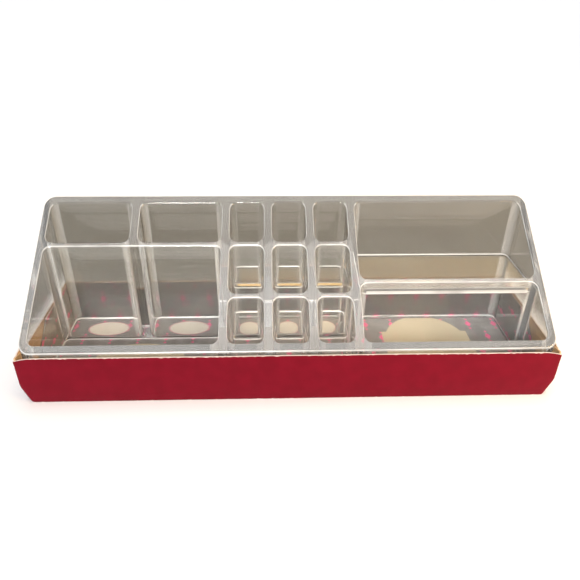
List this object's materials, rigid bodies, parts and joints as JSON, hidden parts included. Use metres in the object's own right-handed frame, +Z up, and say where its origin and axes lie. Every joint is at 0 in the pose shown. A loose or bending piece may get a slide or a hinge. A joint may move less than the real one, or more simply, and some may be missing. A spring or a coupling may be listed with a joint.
{
  "type": "vanity organizer",
  "caption": "Clear moulded cosmetics tray with a slanted rim, stepped lipstick pockets, open bins and a raised shelf, standing in a low red folded carton lined with printed card.",
  "frame": {"origin": "centre of the carton's footprint, on the surface that it stands on", "axes": "+X to the right along the tray, +Y to its tall back, +Z up"},
  "size_m": [0.3048, 0.0872, 0.0911],
  "materials": {
    "clear_plastic": "clear, polished",
    "printed_board": "red print outside, bare brown board inside, satin",
    "liner_card": "dark grey print with small pink motifs and pale ovals, satin"
  },
  "bodies": {
    "carton": {"carton_base": "printed_board", "carton_front_wall": "printed_board", "carton_back_wall": "printed_board", "carton_left_end": "printed_board", "carton_right_end": "printed_board", "carton_front_left_glue_flap": "printed_board", "carton_front_right_glue_flap": "printed_board", "carton_back_left_glue_flap": "printed_board", "carton_back_right_glue_flap": "printed_board", "carton_front_left_facet": "printed_board", "carton_front_right_facet": "printed_board", "carton_back_left_facet": "printed_board", "carton_back_right_facet": "printed_board", "liner_floor": "liner_card", "liner_back_fold": "liner_card", "liner_left_fold": "liner_card", "liner_right_fold": "liner_card"},
    "tray": {"clear_tray": "clear_plastic"}
  },
  "joints": [
    {"name": "tray_lift", "type": "slide", "parent": "carton", "child": "tray", "axis": [0, 0, 1], "range_m": [0, 0.05]}
  ]
}
